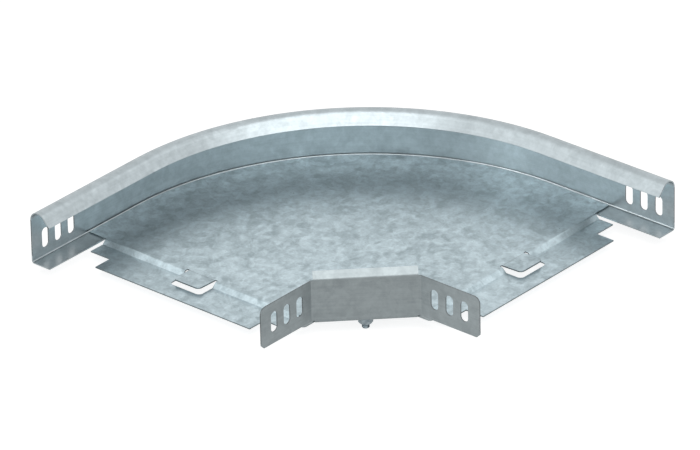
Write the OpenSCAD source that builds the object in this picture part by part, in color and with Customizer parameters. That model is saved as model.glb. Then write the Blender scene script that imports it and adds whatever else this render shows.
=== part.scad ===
// Cable tray bend, 90 degrees, in galvanised sheet steel, for a tray 300 wide with 60 high sides.
// Three folded sheets make it: a floor plate, a curved outer rail with a rolled rim, and a
// corner bracket across the inner corner. A bolt and nut clamp the bracket under the floor.
//
// Working frame, in millimetres: the planes x = 0 and y = 0 are the outer faces of the bracket's
// two side flanges, so they meet at the inner corner of the bend. The left tray end faces -Y, the
// right tray end faces +X, and the bend is symmetric about the plane x = -y. z = 0 is the
// underside of the rail. At the end everything moves so that the origin is at the middle of the
// base of the whole part.

/* [Tray] */
// Overall width, from the outer face of the rail to the outer face of the bracket
tray_w = 300; // [240:5:600]
// Straight length of the rail past the inner corner, at each end
rail_leg = 155; // [130:1:260]
// Thickness of the three sheets
sheet_t = 1.25; // [0.8:0.05:1.8]
// Outer radius of the folds between walls and flanges
fold_r = 3; // [2.4:0.1:4.5]

/* [Outer rail] */
// Height of the rail over its rolled rim
rail_h = 59; // [50:1:110]
// Width of the flange under the floor plate
rail_flange_w = 24; // [18:0.5:36]
// Outer radius of the rolled rim
curl_r = 10.2; // [7:0.1:13]
// Straight length of the lip after the rolled rim
lip_len = 11.3; // [6:0.1:15]
// Slope of the lip below the horizontal, in degrees
lip_slope = 50; // [40:1:65]

/* [Fixing slots] */
// Width of each slot
slot_w = 9.5; // [6:0.1:11]
// Height of each slot
slot_h = 22; // [14:0.5:26]
// Distance from slot to slot
slot_pitch = 19; // [14:0.5:24]
// Distance from the end of the sheet to the middle of the first slot
slot_inset = 19.5; // [12:0.5:22]
// Number of slots in each row
slot_count = 3; // [1:1:3]
// Height of the slots' middle in the rail
rail_slot_z = 21.4; // [17:0.1:30]
// Height of the slots' middle in the bracket
bracket_slot_z = 26; // [19:0.1:30]

/* [Floor plate] */
// Gap between the plate's edges and the folds that it lies beside
plate_gap = 0.4; // [0.2:0.1:2]
// Distance of the floor's straight ends inside the bracket's folds
floor_setback = 2.6; // [1.5:0.1:6]
// Inner radius of the two bends that lower the tongue
joggle_r = 1; // [0.5:0.1:1.6]
// Slope of the lowered step, in degrees
joggle_slope = 45; // [35:1:60]
// Height that the tongue lies below the floor
tongue_drop = 4.7; // [3.5:0.1:7]
// Reach of the wide part of the tongue past the floor's end
tongue_wide_len = 23.3; // [20:0.1:34]
// Reach of the whole tongue past the floor's end
tongue_len = 45.2; // [36:0.1:55]
// Gap beside the rail's flange
tongue_rail_gap = 2; // [1:0.1:6]
// Gap beside the bracket's base flange
tongue_bracket_gap = 4; // [1:0.1:10]
// Amount by which the tongue narrows at each side
tongue_step = 26; // [10:0.5:40]
// Width of the snap tab in the middle of each end
tab_w = 34; // [20:0.5:40]
// Length of the snap tab from its fold
tab_len = 25.5; // [18:0.1:28]
// Distance of the tab from the middle of the tray, towards the corner bracket
tab_offset = 2.5; // [0:0.1:10]
// Distance of the tab's fold inside the floor's end
tab_setback = 2.7; // [1:0.1:8]
// Radius of the tab's front corners
tab_corner_r = 5; // [2:0.1:8]
// Rise of the tab from its fold to its front edge
tab_rise = 0.8; // [0:0.1:3]
// Clearance round the tab in its opening, at the sides
tab_side_gap = 3; // [1:0.1:6]
// Clearance in front of the tab
tab_front_gap = 2; // [1:0.1:6]

/* [Corner bracket] */
// Distance of each vertical fold from the inner corner
corner_cut = 76; // [60:0.1:100]
// Length of each side flange past its fold
bracket_leg = 75; // [72:0.1:110]
// Height of the side flanges
bracket_h = 44.8; // [42:0.1:70]
// Height of the side flanges' lower edge above the underside
bracket_lift = 2.6; // [2.2:0.1:6]
// Radius of the upper outer corner of each side flange
bracket_corner_r = 7; // [3:0.1:12]
// Bevel of the lower outer corner of each side flange
bracket_bevel = 4; // [1:0.1:8]
// Straight length of the bracket's upper lip after its fold
corner_lip_len = 8; // [4:0.1:12]
// Slope of the upper lip above the horizontal, in degrees
corner_lip_slope = 50; // [30:1:75]
// Width of the base flange under the floor plate
base_w = 24; // [20:0.5:34]
// Length of the base flange past each fold
base_return_len = 12; // [6:0.1:18]
// Width of the base flange past each fold
base_return_w = 14; // [8:0.1:18]
// Radius of the corners of the base flange
base_corner_r = 4; // [1:0.1:4]
// Distance from each upright fold to the ends of the upper lip
lip_relief = 1.8; // [1.4:0.1:5]
// Length of the open notch between the base fold and each return
base_notch = 0.4; // [0.2:0.1:3]

/* [Bolt and nut] */
// Thread diameter
bolt_d = 8; // [6:0.5:10]
// Length under the head
bolt_len = 16; // [14:0.5:30]
// Diameter of the mushroom head
head_d = 18; // [14:0.5:20]
// Height of the mushroom head
head_h = 4; // [3:0.1:6]
// Height of the head's straight rim
head_rim = 0.8; // [0.3:0.1:1.5]
// Distance from the bracket's diagonal face to the bolt's axis
bolt_inset = 12; // [11.9:0.1:14]
// Clearance round the square neck
neck_gap = 0.25; // [0.1:0.05:0.6]
// Clearance of the bolt in the nut, on the radius
thread_gap = 0.1; // [0.05:0.05:0.3]
// Width of the nut across its flats
nut_flats = 13; // [12:0.5:17]
// Diameter of the nut's turned end face
nut_face_d = 12.2; // [10:0.1:20]
// Height of the nut with its flange
nut_h = 7.8; // [6:0.1:10]
// Diameter of the nut's flange
nut_flange_d = 17.5; // [17:0.1:22]
// Thickness of the flange at its rim
nut_flange_rim = 1; // [0.5:0.1:1.5]
// Height of the slope from the flange's rim to the hexagon
nut_flange_slope = 1.6; // [0.8:0.1:2]
// Bevel at the thread's mouth and the bolt's end
thread_bevel = 0.9; // [0.3:0.1:1.2]

/* [Hidden] */
$fn = 96;

zinc = [0.66, 0.71, 0.74];
zinc_light = [0.72, 0.76, 0.79];
zinc_dark = [0.55, 0.59, 0.62];
plated = [0.74, 0.76, 0.78];

// Slack that a cut runs past the sheet on both sides
cut_slack = 1;
// Where a straight sheet and a bend meet at an angle, one is thinner by this on each face
ease = 0.01;
// and runs this far into the other, so that both merge into one sheet
lap = 0.12;
root2 = sqrt(2);

// Rail
curl_z = rail_h - curl_r;
curl_end = 90 - lip_slope;

// Bracket: the diagonal wall turns 45 degrees at each vertical fold
inner_fold_r = fold_r - sheet_t;
fold_tangent = inner_fold_r * tan(45 / 2);
diagonal_len = corner_cut * root2;
bracket_top = bracket_lift + bracket_h;
bracket_end = corner_cut + bracket_leg;
corner_lip_end = 90 + corner_lip_slope;
base_inner = corner_cut - base_w * root2 + base_return_w;
base_relief = fold_r + base_notch;

// Floor plate: it lies on the flanges of the rail and the bracket
floor_top = 2 * sheet_t;
floor_end = corner_cut - floor_setback;
plate_r = tray_w - fold_r - plate_gap;
plate_corner = corner_cut - (fold_r + plate_gap) * root2;
joggle_band = 2 * joggle_r + sheet_t;
ramp_len = (tongue_drop - joggle_band * (1 - cos(joggle_slope))) / sin(joggle_slope);
joggle_run = joggle_band * sin(joggle_slope) + ramp_len * cos(joggle_slope);
tongue_z = floor_top - sheet_t - tongue_drop;
tongue_outer = tray_w - rail_flange_w - tongue_rail_gap;
tongue_inner = base_return_w + tongue_bracket_gap;
tab_fold = floor_end - tab_setback;

// Fastener
neck_hole = bolt_d + 2 * neck_gap;
bolt_tip = floor_top - bolt_len;
head_cap_h = head_h - head_rim;
head_ball_r = (head_d * head_d / 4 + head_cap_h * head_cap_h) / (2 * head_cap_h);
nut_corners = nut_flats / cos(30);
nut_bore = bolt_d + 2 * thread_gap;

// Base of the whole part and its middle
base_z = min(bolt_tip, -nut_h, tongue_z);
end_reach = max(rail_leg, bracket_end);
middle = (end_reach - tray_w) / 2;

// Moves the working frame to the middle of the part's base
module placed() {
    translate([-middle, middle, -base_z])
        children();
}

// The left side as drawn, and its mirror image at the right tray end
module both_ends() {
    children();
    mirror([1, 1, 0])
        children();
}

// Frame of the bracket's diagonal wall: +X runs inwards from its outer face
module on_diagonal() {
    translate([corner_cut / 2, -corner_cut / 2, 0])
        rotate([0, 0, 135])
            children();
}

// Part of a bent sheet, from angle a0 to angle a1, with outer radius r, eased on both faces
module bend(r, a0, a1, eased = 0) {
    intersection() {
        difference() {
            circle(r = r - eased);
            circle(r = r - sheet_t + eased);
        }
        rotate(a0)
            translate([-2 * r, 0])
                square([4 * r, 2 * r]);
        rotate(a1)
            translate([-2 * r, -2 * r])
                square([4 * r, 2 * r]);
    }
}

// Straight sheet that goes on clockwise from the end of a bend at angle a, and laps into the
// bend, and into a second one at its far end if there is one
module after_bend(r, a, len, eased = ease, far_lap = 0) {
    rotate(a)
        translate([r - sheet_t + eased, -len - far_lap])
            square([sheet_t - 2 * eased, len + lap + far_lap]);
}

// Strip that grows along +Y from the origin, with two rounded front corners
module rounded_strip(w, len, r) {
    translate([-w / 2, 0])
        square([w, len - r]);
    translate([r - w / 2, 0])
        square([w - 2 * r, len]);
    for (side = [-1, 1])
        translate([side * (w / 2 - r), len - r])
            circle(r = r);
}

// Upright slot with round ends
module slot_shape() {
    straight = slot_h - slot_w;
    square([slot_w, straight], center = true);
    for (side = [-1, 1])
        translate([0, side * straight / 2])
            circle(d = slot_w);
}

// Row of slots through a wall that faces X and ends at y = -end
module slot_row(wall_x, end, z) {
    for (i = [0 : slot_count - 1])
        translate([wall_x - cut_slack, slot_inset + i * slot_pitch - end, z])
            rotate([90, 0, 90])
                linear_extrude(sheet_t + 2 * cut_slack)
                    slot_shape();
}

// Square hole for the bolt's neck through the floor plate or the base flange
module neck_cut() {
    on_diagonal()
        translate([bolt_inset, 0, floor_top / 2])
            cube([neck_hole, neck_hole, floor_top + 2 * cut_slack], center = true);
}

// Section of the rail: x runs inwards from its outer face
module rail_section() {
    translate([fold_r, 0])
        square([rail_flange_w - fold_r, sheet_t]);
    translate([fold_r, fold_r])
        bend(fold_r, 180, 270);
    translate([0, fold_r])
        square([sheet_t, curl_z - fold_r]);
    translate([curl_r, curl_z]) {
        bend(curl_r, curl_end, 180);
        after_bend(curl_r, curl_end, lip_len);
    }
}

module rail_leg_sheet() {
    translate([-tray_w, 0, 0])
        rotate([90, 0, 0])
            linear_extrude(rail_leg)
                rail_section();
}

module outer_rail() {
    color(zinc)
        placed()
            difference() {
                union() {
                    rotate([0, 0, 90])
                        rotate_extrude(angle = 90)
                            translate([tray_w, 0])
                                mirror([1, 0])
                                    rail_section();
                    both_ends()
                        rail_leg_sheet();
                }
                both_ends()
                    slot_row(-tray_w, rail_leg, rail_slot_z);
            }
}

// Level part of the floor, inside the rail's arc and behind the bracket's diagonal
module floor_outline() {
    intersection() {
        circle(r = plate_r);
        translate([-plate_r, 0])
            square(plate_r);
    }
    polygon([
        [-plate_r, 0],
        [-plate_r, -floor_end],
        [plate_corner - floor_end, -floor_end],
        [floor_end, floor_end - plate_corner],
        [floor_end, plate_r],
        [0, plate_r]
    ]);
}

// Section of the lowered tongue: x runs outwards from the floor's end
module tongue_section() {
    outer_r = joggle_r + sheet_t;
    start = 90 - joggle_slope;
    lap_angle = asin(lap / outer_r);
    translate([0, sheet_t - joggle_r]) {
        bend(outer_r, start, 90);
        after_bend(outer_r, start, ramp_len, 2 * ease, lap);
        rotate(start)
            translate([outer_r + joggle_r, -ramp_len])
                bend(outer_r, 180, 180 + joggle_slope + lap_angle, ease);
    }
    translate([joggle_run, tongue_z])
        square([tongue_len - joggle_run, sheet_t]);
}

// The tongue narrows in one step at each side
module tongue() {
    width = tongue_outer - tongue_inner;
    difference() {
        translate([-tongue_inner, -floor_end, 0])
            rotate([90, 0, -90])
                linear_extrude(width)
                    tongue_section();
        for (x = [-tongue_outer - cut_slack, -tongue_inner - tongue_step])
            translate([x, -floor_end - tongue_len - cut_slack, tongue_z - cut_slack])
                cube([
                    tongue_step + cut_slack,
                    tongue_len - tongue_wide_len + cut_slack,
                    sheet_t + 2 * cut_slack
                ]);
    }
}

// Frame of the tab: +Y runs outwards from the middle of its fold
module at_tab() {
    translate([-tray_w / 2 + tab_offset, -tab_fold, 0])
        rotate([0, 0, 180])
            children();
}

module tab_opening() {
    at_tab()
        translate([0, 0, tongue_z - cut_slack])
            linear_extrude(floor_top - tongue_z + 2 * cut_slack)
                rounded_strip(tab_w + 2 * tab_side_gap, tab_len + tab_front_gap, tab_corner_r);
}

module tab() {
    at_tab()
        intersection() {
            translate([-tab_w / 2, 0, 0])
                rotate([90, 0, 90])
                    linear_extrude(tab_w)
                        polygon([
                            [0, sheet_t],
                            [tab_len, sheet_t + tab_rise],
                            [tab_len, floor_top + tab_rise],
                            [0, floor_top]
                        ]);
            linear_extrude(floor_top + tab_rise + cut_slack)
                rounded_strip(tab_w, tab_len, tab_corner_r);
        }
}

module floor_plate() {
    color(zinc_light)
        placed() {
            difference() {
                union() {
                    translate([0, 0, sheet_t])
                        linear_extrude(sheet_t)
                            floor_outline();
                    both_ends()
                        tongue();
                }
                both_ends()
                    tab_opening();
                neck_cut();
            }
            both_ends()
                tab();
        }
}

// Sections of the bracket's diagonal: x runs inwards from its outer face
module wall_section(eased = 0) {
    translate([eased, fold_r])
        square([sheet_t - 2 * eased, bracket_top - fold_r]);
}

module base_section() {
    translate([fold_r, fold_r])
        bend(fold_r, 180, 270);
    translate([fold_r, 0])
        square([base_w / 2 - fold_r, sheet_t]);
}

module corner_lip_section() {
    translate([fold_r, bracket_top]) {
        bend(fold_r, corner_lip_end, 180);
        after_bend(fold_r, corner_lip_end, corner_lip_len);
    }
}

module along_diagonal(len) {
    on_diagonal()
        rotate([90, 0, 0])
            linear_extrude(len, center = true)
                children();
}

// Flat ends of the base flange, with a rounded return past each fold. They start a little
// inside the base fold.
module base_ends() {
    edge = corner_cut - (fold_r + lap) * root2;
    linear_extrude(sheet_t) {
        polygon([
            [0, -edge],
            [edge, 0],
            [base_inner, base_return_w],
            [-base_return_w, -base_inner]
        ]);
        both_ends()
            translate([-base_return_w / 2, -edge, 0])
                rotate(180)
                    rounded_strip(
                        base_return_w,
                        corner_cut + base_return_len - edge,
                        base_corner_r
                    );
        both_ends()
            polygon([
                [0, -edge],
                [-base_return_w, -base_inner],
                [-base_return_w, -edge - lap],
                [0, -edge - lap]
            ]);
    }
}

// Upright fold between the diagonal wall and a side flange
module upright_fold() {
    translate([inner_fold_r, -corner_cut - fold_tangent, bracket_lift])
        linear_extrude(bracket_h)
            bend(fold_r, 135, 180);
}

// Side flange, drawn from its fold: x runs outwards along the tray
module side_flange() {
    len = bracket_leg - fold_tangent;
    translate([-sheet_t, -corner_cut - fold_tangent, bracket_lift])
        rotate([90, 0, -90])
            translate([0, 0, -sheet_t])
                linear_extrude(sheet_t) {
                    polygon([
                        [0, 0],
                        [len - bracket_bevel, 0],
                        [len, bracket_bevel],
                        [len, bracket_h - bracket_corner_r],
                        [len - bracket_corner_r, bracket_h],
                        [0, bracket_h]
                    ]);
                    translate([len - bracket_corner_r, bracket_h - bracket_corner_r])
                        circle(r = bracket_corner_r);
                }
}

module corner_bracket() {
    color(zinc_dark)
        placed()
            difference() {
                union() {
                    along_diagonal(diagonal_len - 2 * fold_tangent + 2 * lap)
                        wall_section(ease);
                    along_diagonal(diagonal_len - 2 * lip_relief) {
                        wall_section();
                        corner_lip_section();
                    }
                    along_diagonal(diagonal_len - 2 * base_relief)
                        base_section();
                    base_ends();
                    both_ends() {
                        upright_fold();
                        side_flange();
                    }
                }
                both_ends()
                    slot_row(-sheet_t, bracket_end, bracket_slot_z);
                neck_cut();
            }
}

module bolt() {
    color(plated)
        placed()
            on_diagonal()
                translate([bolt_inset, 0, 0]) {
                    translate([0, 0, floor_top])
                        cylinder(d = head_d, h = head_rim);
                    intersection() {
                        translate([0, 0, floor_top + head_h - head_ball_r])
                            sphere(r = head_ball_r);
                        translate([0, 0, floor_top + head_rim])
                            cylinder(d = head_d, h = head_h);
                    }
                    translate([-bolt_d / 2, -bolt_d / 2, 0])
                        cube([bolt_d, bolt_d, floor_top]);
                    translate([0, 0, bolt_tip + thread_bevel])
                        cylinder(d = bolt_d, h = -bolt_tip - thread_bevel);
                    translate([0, 0, bolt_tip])
                        cylinder(d1 = bolt_d - 2 * thread_bevel, d2 = bolt_d, h = thread_bevel);
                }
}

// Hexagon with a bevelled outer face and a flange on the seat side
module nut_body() {
    bevel_h = (nut_corners - nut_face_d) / 2 * tan(30);
    intersection() {
        rotate([0, 0, 30])
            cylinder(d = nut_corners, h = nut_h, $fn = 6);
        union() {
            cylinder(d1 = nut_face_d, d2 = nut_corners, h = bevel_h);
            translate([0, 0, bevel_h])
                cylinder(d = nut_corners, h = nut_h - bevel_h);
        }
    }
    translate([0, 0, nut_h - nut_flange_rim - nut_flange_slope])
        cylinder(d1 = nut_face_d, d2 = nut_flange_d, h = nut_flange_slope);
    translate([0, 0, nut_h - nut_flange_rim])
        cylinder(d = nut_flange_d, h = nut_flange_rim);
}

module nut() {
    color(plated)
        placed()
            on_diagonal()
                translate([bolt_inset, 0, -nut_h])
                    difference() {
                        nut_body();
                        translate([0, 0, -cut_slack])
                            cylinder(d = nut_bore, h = nut_h + 2 * cut_slack);
                        cylinder(
                            d1 = nut_bore + 2 * thread_bevel,
                            d2 = nut_bore,
                            h = thread_bevel
                        );
                    }
}

outer_rail();
floor_plate();
corner_bracket();
bolt();
nut();
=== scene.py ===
import math

import bpy
from mathutils import Matrix, Vector


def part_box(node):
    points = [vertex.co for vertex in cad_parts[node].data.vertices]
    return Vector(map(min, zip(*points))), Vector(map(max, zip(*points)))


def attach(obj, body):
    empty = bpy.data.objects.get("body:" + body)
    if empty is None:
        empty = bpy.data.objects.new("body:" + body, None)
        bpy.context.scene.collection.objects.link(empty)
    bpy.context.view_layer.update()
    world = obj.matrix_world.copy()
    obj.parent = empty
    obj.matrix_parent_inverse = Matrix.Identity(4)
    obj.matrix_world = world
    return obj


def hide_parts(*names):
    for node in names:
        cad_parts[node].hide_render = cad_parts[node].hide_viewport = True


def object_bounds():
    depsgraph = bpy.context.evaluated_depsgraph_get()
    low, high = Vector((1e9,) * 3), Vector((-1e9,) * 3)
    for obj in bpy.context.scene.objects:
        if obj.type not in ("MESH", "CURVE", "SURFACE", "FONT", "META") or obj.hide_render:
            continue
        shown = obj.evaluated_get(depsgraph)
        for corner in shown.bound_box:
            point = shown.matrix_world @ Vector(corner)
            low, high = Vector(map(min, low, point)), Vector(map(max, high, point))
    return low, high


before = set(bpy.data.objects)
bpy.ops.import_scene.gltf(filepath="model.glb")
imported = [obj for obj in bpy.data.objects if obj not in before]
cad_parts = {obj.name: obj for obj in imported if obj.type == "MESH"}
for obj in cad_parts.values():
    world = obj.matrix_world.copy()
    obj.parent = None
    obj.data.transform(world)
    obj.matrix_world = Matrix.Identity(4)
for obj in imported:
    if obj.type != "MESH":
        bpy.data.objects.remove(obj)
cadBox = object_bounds()
bpy.ops.object.select_all(action="DESELECT")
print("frame loaded:", sorted(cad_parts))


# Galvanised sheet and plated steel

# every sheet is zinc coated: soft clouds, crystal flakes and a fine grain, one over the other
sheetFinish = {
    "darkTint": (0.365, 0.443, 0.474, 1),
    "lightTint": (0.640, 0.750, 0.792, 1),
    "metallic": 1.0,
    "roughLow": 0.27,
    "roughHigh": 0.37,
    "cloudSize": 0.019,
    "flakeSize": 0.006,
    "flakeBlur": 1.0,
    "grainSize": 0.0025,
    "driftLength": 0.008,
    "streakSize": (0.10, 0.10, 0.0016),
    "shares": (0.66, 0.16, 0.18, 0.0),
    "dentDepth": 0.00022,
    "dentSize": 0.050,
    # how the pattern is turned in the sheet, the last turn differs from piece to piece
    "tilt": (0.3, 0.2),
    "turn": 0.0,
    "cloudDetail": 6,
    "cloudRoughness": 0.66,
    "cloudDistortion": 1.0,
    "fineDetail": 2,
    "streakDetail": 3,
    "dentDetail": 1,
    # the tones between which the coat goes from dark to light, and from dull to glossy
    "tintFrom": 0.36,
    "tintTo": 0.64,
    "glossFrom": 0.3,
    "glossTo": 0.7,
    # the bare cut edges are darker than the zinc
    "cutShare": 0.40,
    "cutFacing": 0.3,
    "legEdges": False,
    "legStart": 0.146,
    "legEdgeLow": 0.022,
    "legEdgeHigh": 0.062,
    # painted shade round each tab: a dark line along its bend and its cut slits, where shade falls, and a
    # slightly darker face; none for a sheet without tabs
    "tabMiddle": None,
    "tabHalf": (0.0171, 0.0123),
    "tabShadeLine": 0.0005,
    "tabShadeLineShare": 0.62,
    "tabShare": 0.95,
}

railFinish = dict(
    sheetFinish,
    turn=0.4,
    darkTint=(0.365, 0.412, 0.430, 1),
    lightTint=(0.490, 0.548, 0.572, 1),
    roughLow=0.28,
    roughHigh=0.36,
    legEdges=True,
    shares=(0.50, 0.14, 0.16, 0.20),
)
floorFinish = dict(
    sheetFinish,
    turn=1.3,
    darkTint=(0.340, 0.420, 0.452, 1),
    lightTint=(0.615, 0.735, 0.785, 1),
    metallic=0.82,
    tabMiddle=(-0.0750, -0.1564),
)
# the bracket is the same zinc as the other sheets, but its tints are darker: painted shade that stands in
# for the dark reflections on its upright faces
bracketShadedFinish = dict(
    sheetFinish,
    turn=2.1,
    darkTint=(0.285, 0.322, 0.333, 1),
    lightTint=(0.374, 0.420, 0.432, 1),
    roughLow=0.38,
    roughHigh=0.45,
    cutShare=0.45,
    legEdges=True,
    shares=(0.50, 0.12, 0.16, 0.22),
)

boltFinish = {
    "tint": (0.40, 0.47, 0.50, 1),
    "stainTint": (0.24, 0.29, 0.32, 1),
    "roughness": 0.34,
    "stainSize": 0.004,
    "stainDetail": 2,
    "tintFrom": 0.35,
    "tintTo": 0.65,
}


def addNode(tree, kind, **values):
    node = tree.nodes.new(kind)
    for name, value in values.items():
        node.inputs[name].default_value = value
    return node


def newMaterial(name):
    material = bpy.data.materials.new(name)
    material.use_nodes = True
    tree = material.node_tree
    tree.nodes.clear()
    shader = tree.nodes.new("ShaderNodeBsdfPrincipled")
    out = tree.nodes.new("ShaderNodeOutputMaterial")
    tree.links.new(shader.outputs["BSDF"], out.inputs["Surface"])
    return material, tree, shader


def calc(tree, operation, first, second=0.0, third=0.0):
    # one step of arithmetic, on sockets and plain numbers alike
    node = tree.nodes.new("ShaderNodeMath")
    node.operation = operation
    for socket, value in zip(node.inputs, (first, second, third)):
        if isinstance(value, (int, float)):
            socket.default_value = value
        else:
            tree.links.new(value, socket)
    return node.outputs[0]


def weighted(tree, sources, shares):
    # adds the layers up, each by its share
    total = 0.0
    for source, share in zip(sources, shares):
        total = calc(tree, "MULTIPLY_ADD", source, share, total)
    return total


def cutEdges(tree, coords, finish):
    # 1 on the narrow faces where the sheet was cut, found by the way they face
    facing = tree.nodes.new("ShaderNodeSeparateXYZ")
    place = tree.nodes.new("ShaderNodeSeparateXYZ")
    tree.links.new(coords.outputs["Normal"], facing.inputs["Vector"])
    tree.links.new(coords.outputs["Object"], place.inputs["Vector"])
    nx, ny, nz = (calc(tree, "ABSOLUTE", facing.outputs[axis]) for axis in "XYZ")
    x, y, z = (place.outputs[axis] for axis in "XYZ")
    if not finish["legEdges"]:
        return calc(tree, "LESS_THAN", nz, finish["cutFacing"])
    # one leg stands across x and the other across y, so a slot's wall has no x or no y in its normal
    onLeftLeg = calc(tree, "LESS_THAN", y, -finish["legStart"])
    onRightLeg = calc(tree, "GREATER_THAN", x, finish["legStart"])
    leftCut = calc(tree, "MULTIPLY", calc(tree, "LESS_THAN", nx, finish["cutFacing"]), onLeftLeg)
    rightCut = calc(tree, "MULTIPLY", calc(tree, "LESS_THAN", ny, finish["cutFacing"]), onRightLeg)
    aboveLow = calc(tree, "GREATER_THAN", z, finish["legEdgeLow"])
    belowHigh = calc(tree, "LESS_THAN", z, finish["legEdgeHigh"])
    inHeight = calc(tree, "MULTIPLY", aboveLow, belowHigh)
    return calc(tree, "MULTIPLY", calc(tree, "MAXIMUM", leftCut, rightCut), inHeight)


def inBox(tree, x, y, middle, half):
    inWidth = calc(tree, "COMPARE", x, middle[0], half[0])
    inDepth = calc(tree, "COMPARE", y, middle[1], half[1])
    return calc(tree, "MULTIPLY", inWidth, inDepth)


def tabShadeMarks(tree, coords, finish):
    # the coat's share that is left on the two tabs, which mirror each other over the diagonal: a painted
    # shade line along each tab's bend and slits, and a slightly darker face
    place = tree.nodes.new("ShaderNodeSeparateXYZ")
    tree.links.new(coords.outputs["Object"], place.inputs["Vector"])
    x, y = place.outputs["X"], place.outputs["Y"]
    mirrored = (calc(tree, "MULTIPLY", y, -1.0), calc(tree, "MULTIPLY", x, -1.0))
    inner = tuple(half - finish["tabShadeLine"] for half in finish["tabHalf"])
    share = 1.0
    for across, along in ((x, y), mirrored):
        outline = inBox(tree, across, along, finish["tabMiddle"], finish["tabHalf"])
        face = inBox(tree, across, along, finish["tabMiddle"], inner)
        share = calc(tree, "MULTIPLY_ADD", outline, finish["tabShadeLineShare"] - 1, share)
        share = calc(tree, "MULTIPLY_ADD", face, finish["tabShare"] - finish["tabShadeLineShare"], share)
    return share


def galvanised(name, finish):
    material, tree, shader = newMaterial(name)
    link = tree.links.new
    coords = tree.nodes.new("ShaderNodeTexCoord")
    mapping = tree.nodes.new("ShaderNodeMapping")
    mapping.inputs["Rotation"].default_value = (*finish["tilt"], finish["turn"])
    link(coords.outputs["Object"], mapping.inputs["Vector"])

    # the flakes' borders wander instead of being straight cell walls
    drift = addNode(tree, "ShaderNodeTexNoise", Scale=1 / finish["driftLength"], Detail=finish["fineDetail"])
    centred = tree.nodes.new("ShaderNodeVectorMath")
    centred.operation = "SUBTRACT"
    centred.inputs[1].default_value = (0.5, 0.5, 0.5)
    wander = tree.nodes.new("ShaderNodeVectorMath")
    wander.operation = "MULTIPLY_ADD"
    wander.inputs[1].default_value = (finish["driftLength"],) * 3
    link(mapping.outputs["Vector"], drift.inputs["Vector"])
    link(drift.outputs["Color"], centred.inputs[0])
    link(centred.outputs["Vector"], wander.inputs[0])
    link(mapping.outputs["Vector"], wander.inputs[2])

    clouds = addNode(
        tree,
        "ShaderNodeTexNoise",
        Scale=1 / finish["cloudSize"],
        Detail=finish["cloudDetail"],
        Roughness=finish["cloudRoughness"],
        Distortion=finish["cloudDistortion"],
    )
    flakes = tree.nodes.new("ShaderNodeTexVoronoi")
    flakes.feature = "SMOOTH_F1"
    flakes.inputs["Scale"].default_value = 1 / finish["flakeSize"]
    flakes.inputs["Smoothness"].default_value = finish["flakeBlur"]
    split = tree.nodes.new("ShaderNodeSeparateColor")
    grain = addNode(tree, "ShaderNodeTexNoise", Scale=1 / finish["grainSize"], Detail=finish["fineDetail"])
    # the rolls left faint lengthwise streaks, which lie level on every wall and lip
    stretch = tree.nodes.new("ShaderNodeVectorMath")
    stretch.operation = "DIVIDE"
    stretch.inputs[1].default_value = finish["streakSize"]
    streaks = addNode(tree, "ShaderNodeTexNoise", Scale=1.0, Detail=finish["streakDetail"])
    link(coords.outputs["Object"], stretch.inputs[0])
    link(stretch.outputs["Vector"], streaks.inputs["Vector"])
    link(wander.outputs["Vector"], clouds.inputs["Vector"])
    link(wander.outputs["Vector"], flakes.inputs["Vector"])
    link(mapping.outputs["Vector"], grain.inputs["Vector"])
    link(flakes.outputs["Color"], split.inputs["Color"])
    layers = (clouds.outputs[0], split.outputs["Red"], grain.outputs[0], streaks.outputs[0])
    tone = weighted(tree, layers, finish["shares"])

    ramp = tree.nodes.new("ShaderNodeValToRGB")
    ramp.color_ramp.elements[0].position = finish["tintFrom"]
    ramp.color_ramp.elements[0].color = finish["darkTint"]
    ramp.color_ramp.elements[1].position = finish["tintTo"]
    ramp.color_ramp.elements[1].color = finish["lightTint"]
    link(tone, ramp.inputs["Fac"])
    darken = tree.nodes.new("ShaderNodeVectorMath")
    darken.operation = "SCALE"
    loss = calc(tree, "MULTIPLY", cutEdges(tree, coords, finish), finish["cutShare"] - 1)
    link(ramp.outputs["Color"], darken.inputs[0])
    kept = calc(tree, "ADD", loss, 1.0)
    # on a sheet with tabs, the painted shade round the tabs darkens the coat too
    if finish["tabMiddle"]:
        kept = calc(tree, "MULTIPLY", kept, tabShadeMarks(tree, coords, finish))
    link(kept, darken.inputs["Scale"])
    link(darken.outputs["Vector"], shader.inputs["Base Color"])

    rough = addNode(tree, "ShaderNodeMapRange")
    rough.inputs["From Min"].default_value = finish["glossFrom"]
    rough.inputs["From Max"].default_value = finish["glossTo"]
    rough.inputs["To Min"].default_value = finish["roughHigh"]
    rough.inputs["To Max"].default_value = finish["roughLow"]
    link(tone, rough.inputs["Value"])
    link(rough.outputs["Result"], shader.inputs["Roughness"])

    # rolled sheet is never quite flat
    dents = addNode(tree, "ShaderNodeTexNoise", Scale=1 / finish["dentSize"], Detail=finish["dentDetail"])
    bump = addNode(tree, "ShaderNodeBump", Strength=1.0, Distance=finish["dentDepth"])
    link(mapping.outputs["Vector"], dents.inputs["Vector"])
    link(dents.outputs[0], bump.inputs["Height"])
    link(bump.outputs["Normal"], shader.inputs["Normal"])
    shader.inputs["Metallic"].default_value = finish["metallic"]
    return material


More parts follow.
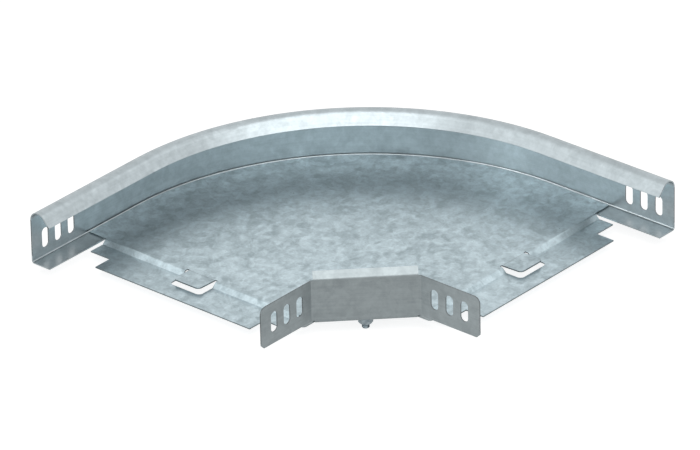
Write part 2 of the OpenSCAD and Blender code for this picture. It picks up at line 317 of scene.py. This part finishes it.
def platedSteel(name, finish):
    material, tree, shader = newMaterial(name)
    coords = tree.nodes.new("ShaderNodeTexCoord")
    stain = addNode(tree, "ShaderNodeTexNoise", Scale=1 / finish["stainSize"], Detail=finish["stainDetail"])
    ramp = tree.nodes.new("ShaderNodeValToRGB")
    ramp.color_ramp.elements[0].position = finish["tintFrom"]
    ramp.color_ramp.elements[0].color = finish["stainTint"]
    ramp.color_ramp.elements[1].position = finish["tintTo"]
    ramp.color_ramp.elements[1].color = finish["tint"]
    tree.links.new(coords.outputs["Object"], stain.inputs["Vector"])
    tree.links.new(stain.outputs[0], ramp.inputs["Fac"])
    tree.links.new(ramp.outputs["Color"], shader.inputs["Base Color"])
    shader.inputs["Metallic"].default_value = 1.0
    shader.inputs["Roughness"].default_value = finish["roughness"]
    return material


def dress(node, material):
    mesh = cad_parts[node].data
    mesh.materials.clear()
    mesh.materials.append(material)


railZinc = galvanised("railZinc", railFinish)
floorZinc = galvanised("floorZinc", floorFinish)
bracketShadedZinc = galvanised("bracketShadedZinc", bracketShadedFinish)
plated = platedSteel("platedSteel", boltFinish)
dress("outer_rail", railZinc)
dress("floor_plate", floorZinc)
dress("corner_bracket", bracketShadedZinc)
dress("bolt", plated)
dress("nut", plated)
print("sheets dressed")


# Curved rail: the same sheet with new shading normals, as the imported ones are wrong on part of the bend

railShape = {
    "mergeWithin": 0.000002,
    "smoothAngle": 24,
}


def makeRail(shape):
    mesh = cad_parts["outer_rail"].data.copy()
    rail = bpy.data.objects.new("curvedRail", mesh)
    mesh.name = "curvedRail"
    bpy.context.collection.objects.link(rail)
    bpy.ops.object.select_all(action="DESELECT")
    rail.select_set(True)
    bpy.context.view_layer.objects.active = rail
    bpy.ops.mesh.customdata_custom_splitnormals_clear()
    bpy.ops.object.mode_set(mode="EDIT")
    bpy.ops.mesh.select_all(action="SELECT")
    bpy.ops.mesh.remove_doubles(threshold=shape["mergeWithin"])
    bpy.ops.object.mode_set(mode="OBJECT")
    bpy.ops.object.shade_smooth_by_angle(angle=math.radians(shape["smoothAngle"]))
    # the flat walls stay flat right up to their bends
    weigh = rail.modifiers.new("weigh", "WEIGHTED_NORMAL")
    weigh.mode = "FACE_AREA"
    weigh.keep_sharp = True
    bpy.ops.object.modifier_apply(modifier=weigh.name)
    return rail


curvedRail = makeRail(railShape)
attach(curvedRail, "root")
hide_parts("outer_rail")
print("rail made:", len(curvedRail.data.polygons), "faces")


# Coach bolt with its real thread

boltShape = {
    "headRadius": 0.0090,
    "rimHeight": 0.0008,
    "headHeight": 0.0040,
    "neckHalf": 0.0040,
    "neckHeight": 0.0025,
    "threadRadius": 0.0040,
    "threadDepth": 0.00068,
    "pitch": 0.00125,
    "ringsPerTurn": 6,
    "sides": 36,
    "tipBevel": 0.0009,
    "headSides": 48,
    "smoothAngle": 32,
    "domeSteps": 7,
    "domeFlat": 0.0006,
    "overlap": 0.0010,
}


def makeHead(shape, middle, base):
    # a disc pulled up into its rim, then drawn in step by step to a low dome
    bpy.ops.mesh.primitive_circle_add(
        vertices=shape["headSides"],
        radius=shape["headRadius"],
        fill_type="NGON",
        location=(middle.x, middle.y, base),
    )
    head = bpy.context.object
    bpy.ops.object.mode_set(mode="EDIT")
    bpy.ops.mesh.extrude_region_move(TRANSFORM_OT_translate={"value": (0, 0, shape["rimHeight"])})
    rise = shape["headHeight"] - shape["rimHeight"]
    ball = (shape["headRadius"] ** 2 + rise ** 2) / (2 * rise)
    top = rise - (ball - math.sqrt(ball ** 2 - shape["domeFlat"] ** 2))
    height, radius = 0.0, shape["headRadius"]
    for step in range(1, shape["domeSteps"] + 1):
        nextHeight = top * (1 - (1 - step / shape["domeSteps"]) ** 2)
        nextRadius = math.sqrt(ball ** 2 - (ball - rise + nextHeight) ** 2)
        bpy.ops.mesh.extrude_region_move(TRANSFORM_OT_translate={"value": (0, 0, nextHeight - height)})
        draw = nextRadius / radius
        bpy.ops.transform.resize(value=(draw, draw, 1), center_override=(middle.x, middle.y, 0))
        height, radius = nextHeight, nextRadius
    bpy.ops.mesh.select_all(action="SELECT")
    bpy.ops.mesh.normals_make_consistent(inside=False)
    bpy.ops.object.mode_set(mode="OBJECT")
    return head


def makeNeck(shape, middle, base):
    # the square neck stands square to the bracket's diagonal wall
    tall = shape["neckHeight"] + shape["rimHeight"] / 2
    bpy.ops.mesh.primitive_cube_add(
        size=1,
        location=(middle.x, middle.y, base - shape["neckHeight"] + tall / 2),
        rotation=(0, 0, math.pi / 4),
    )
    neck = bpy.context.object
    neck.scale = (2 * shape["neckHalf"], 2 * shape["neckHalf"], tall)
    return neck


def makeThread(shape, middle, tip, top):
    # a tube of many rings, each point then drawn in by where it stands on the screw line
    ringStep = shape["pitch"] / shape["ringsPerTurn"]
    rings = math.ceil((top - tip) / ringStep)
    bpy.ops.mesh.primitive_circle_add(
        vertices=shape["sides"],
        radius=shape["threadRadius"],
        fill_type="NOTHING",
        location=(middle.x, middle.y, tip),
    )
    thread = bpy.context.object
    bpy.ops.object.mode_set(mode="EDIT")
    bpy.ops.mesh.select_all(action="SELECT")
    for ring in range(rings):
        bpy.ops.mesh.extrude_region_move(TRANSFORM_OT_translate={"value": (0, 0, (top - tip) / rings)})
    bpy.ops.object.mode_set(mode="OBJECT")
    for point in thread.data.vertices:
        angle = math.atan2(point.co.y, point.co.x)
        phase = (point.co.z / shape["pitch"] - angle / (2 * math.pi)) % 1
        radius = shape["threadRadius"] - shape["threadDepth"] * abs(2 * phase - 1)
        radius = min(radius, shape["threadRadius"] - shape["tipBevel"] + point.co.z)
        point.co.x = radius * math.cos(angle)
        point.co.y = radius * math.sin(angle)
    bpy.ops.object.mode_set(mode="EDIT")
    bpy.ops.mesh.select_all(action="SELECT")
    bpy.ops.mesh.region_to_loop()
    bpy.ops.mesh.edge_face_add()
    bpy.ops.mesh.select_all(action="SELECT")
    bpy.ops.mesh.normals_make_consistent(inside=False)
    bpy.ops.object.mode_set(mode="OBJECT")
    return thread


def makeBolt(shape):
    low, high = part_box("bolt")
    middle = (low + high) / 2
    base = high.z - shape["headHeight"]
    seat = base - shape["neckHeight"]
    head = makeHead(shape, middle, base)
    neck = makeNeck(shape, middle, base)
    thread = makeThread(shape, middle, low.z, seat + shape["overlap"])
    for part in (head, neck, thread):
        bpy.ops.object.select_all(action="DESELECT")
        part.select_set(True)
        bpy.context.view_layer.objects.active = part
        bpy.ops.object.transform_apply(location=True, rotation=True, scale=True)
    bpy.context.view_layer.objects.active = head
    for part in (neck, thread):
        weld = head.modifiers.new("weld", "BOOLEAN")
        weld.operation = "UNION"
        weld.solver = "EXACT"
        weld.object = part
        bpy.ops.object.modifier_apply(modifier=weld.name)
        bpy.data.objects.remove(part)
    bpy.ops.object.select_all(action="DESELECT")
    head.select_set(True)
    bpy.context.view_layer.objects.active = head
    bpy.ops.object.shade_smooth_by_angle(angle=math.radians(shape["smoothAngle"]))
    head.name = head.data.name = "coachBolt"
    return head


coachBolt = makeBolt(boltShape)
coachBolt.data.materials.clear()
coachBolt.data.materials.append(plated)
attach(coachBolt, "root")
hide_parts("bolt")
print("bolt made:", len(coachBolt.data.polygons), "faces")


# Studio

studio = {
    "floorHalf": 30.0,
    "floorColour": (0.42, 0.42, 0.42, 1),
    "floorGlow": 0.83,
    "floorShine": 0.50,
    "worldColour": (1.0, 1.0, 1.0, 1),
    "worldFill": 0.25,
    "suns": (
        # name, where it stands as seen from the part, strength, how wide it looks in degrees
        ("frontSun", (-0.30, -0.95, 0.10), 1.0, 30),
        ("rimSun", (0.408, -0.275, 0.870), 1.15, 64),
        ("sideSun", (-0.581, -0.541, 0.608), 0.20, 50),
        ("backSun", (0.394, 0.630, 0.669), 0.06, 30),
    ),
}


def seenRays(tree):
    # 1 where the camera, a reflection or a see-through ray looks, 0 for the light that falls on things
    rays = tree.nodes.new("ShaderNodeLightPath")
    total = rays.outputs["Is Camera Ray"]
    for ray in ("Is Glossy Ray", "Is Transmission Ray"):
        total = calc(tree, "MAXIMUM", total, rays.outputs[ray])
    return total


def makeWorld():
    world = bpy.data.worlds.new("studioWorld")
    bpy.context.scene.world = world
    world.use_nodes = True
    tree = world.node_tree
    tree.nodes.clear()
    fill = addNode(tree, "ShaderNodeBackground", Color=studio["worldColour"], Strength=studio["worldFill"])
    plain = addNode(tree, "ShaderNodeBackground", Color=studio["worldColour"], Strength=1.0)
    mix = tree.nodes.new("ShaderNodeMixShader")
    out = tree.nodes.new("ShaderNodeOutputWorld")
    tree.links.new(seenRays(tree), mix.inputs["Fac"])
    tree.links.new(fill.outputs[0], mix.inputs[1])
    tree.links.new(plain.outputs[0], mix.inputs[2])
    tree.links.new(mix.outputs[0], out.inputs["Surface"])


def makeFloor():
    bpy.ops.object.select_all(action="DESELECT")
    bpy.ops.mesh.primitive_plane_add(size=2 * studio["floorHalf"], location=(0, 0, cadBox[0].z))
    ground = bpy.context.object
    ground.name = "studioFloor"
    material, tree, shader = newMaterial("studioFloorPaint")
    shader.inputs["Base Color"].default_value = studio["floorColour"]
    shader.inputs["Roughness"].default_value = 1.0
    shader.inputs["Specular IOR Level"].default_value = 0.0
    # a little of its own light, only where it is looked at, keeps the backdrop white and the shadow soft
    # the metal mirrors it less bright than the camera sees it, so upright faces stay darker than the lips
    rays = tree.nodes.new("ShaderNodeLightPath")
    looked = calc(tree, "MULTIPLY", rays.outputs["Is Camera Ray"], studio["floorGlow"])
    mirrored = calc(tree, "MAXIMUM", rays.outputs["Is Glossy Ray"], rays.outputs["Is Transmission Ray"])
    glow = calc(tree, "MULTIPLY_ADD", mirrored, studio["floorShine"], looked)
    tree.links.new(glow, shader.inputs["Emission Strength"])
    shader.inputs["Emission Color"].default_value = (1, 1, 1, 1)
    ground.data.materials.append(material)


def makeSun(name, stand, strength, width):
    data = bpy.data.lights.new(name, "SUN")
    data.energy = strength
    data.angle = math.radians(width)
    sun = bpy.data.objects.new(name, data)
    bpy.context.collection.objects.link(sun)
    sun.rotation_mode = "QUATERNION"
    sun.rotation_quaternion = Vector(stand).to_track_quat("Z", "Y")


makeWorld()
makeFloor()
for sun in studio["suns"]:
    makeSun(*sun)
print("studio ready")


# Camera

# a long lens from the front, matched to the edges of the part in the photograph
cameraSet = {
    "aim": (-0.03282, 0.03208, 0.0135),
    "azimuth": 41.061,
    "elevation": 27.882,
    "roll": -1.089,
    "distance": 8.0248,
    "focalPixels": 8000.0,
    "imageWidth": 700,
    "sensorWidth": 36.0,
}


def makeCamera():
    data = bpy.data.cameras.new("photoCamera")
    data.sensor_width = cameraSet["sensorWidth"]
    data.lens = cameraSet["focalPixels"] / cameraSet["imageWidth"] * cameraSet["sensorWidth"]
    data.clip_start, data.clip_end = 0.1, 200.0
    camera = bpy.data.objects.new("photoCamera", data)
    bpy.context.collection.objects.link(camera)
    turn = math.radians(cameraSet["azimuth"])
    lift = math.radians(cameraSet["elevation"])
    roll = math.radians(cameraSet["roll"])
    back = Vector((math.sin(turn) * math.cos(lift), -math.cos(turn) * math.cos(lift), math.sin(lift)))
    side = Vector((math.cos(turn), math.sin(turn), 0))
    up = back.cross(side)
    leanedSide = side * math.cos(roll) + up * math.sin(roll)
    leanedUp = back.cross(leanedSide)
    place = Vector(cameraSet["aim"]) + back * cameraSet["distance"]
    axes = Matrix((leanedSide, leanedUp, back)).transposed().to_4x4()
    camera.matrix_world = Matrix.Translation(place) @ axes
    bpy.context.scene.camera = camera


makeCamera()
bpy.context.scene.view_settings.view_transform = "Standard"
print("camera set")
